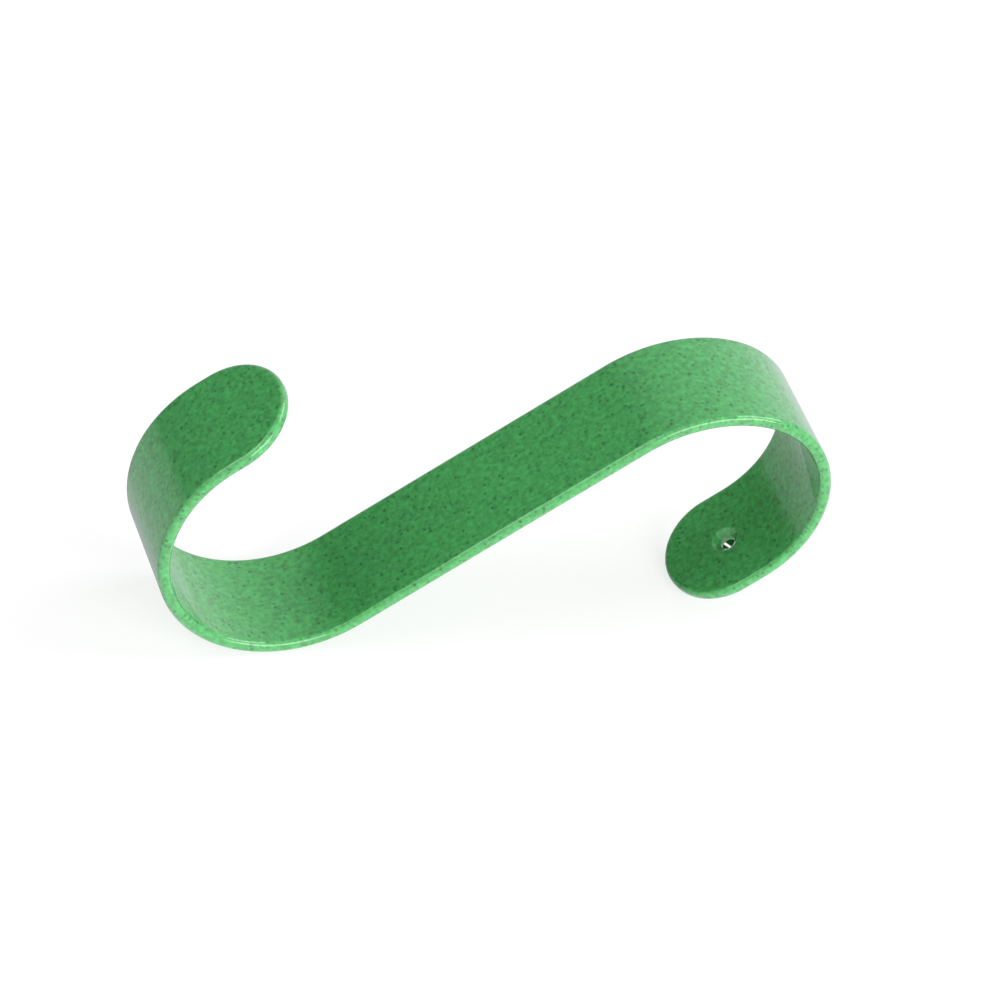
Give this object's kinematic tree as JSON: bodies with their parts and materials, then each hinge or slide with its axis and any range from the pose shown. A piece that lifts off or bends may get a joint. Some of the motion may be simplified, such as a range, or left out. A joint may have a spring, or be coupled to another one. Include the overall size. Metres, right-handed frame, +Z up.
{
  "type": "s hook",
  "caption": "S-shaped hook bent from flat painted steel strip, with a plain carrying bend and a rail bend that has a small countersunk screw hole in its end.",
  "frame": {"origin": "middle of the hook's footprint, on the surface that it lies on", "axes": "+X along the hook towards the rail hook, +Y across the strip's width, +Z up"},
  "size_m": [0.1366, 0.025, 0.0576],
  "materials": {
    "green_paint": "gloss green with fine dark flecks"
  },
  "bodies": {
    "root": {"hook_strip": "green_paint"}
  },
  "joints": []
}
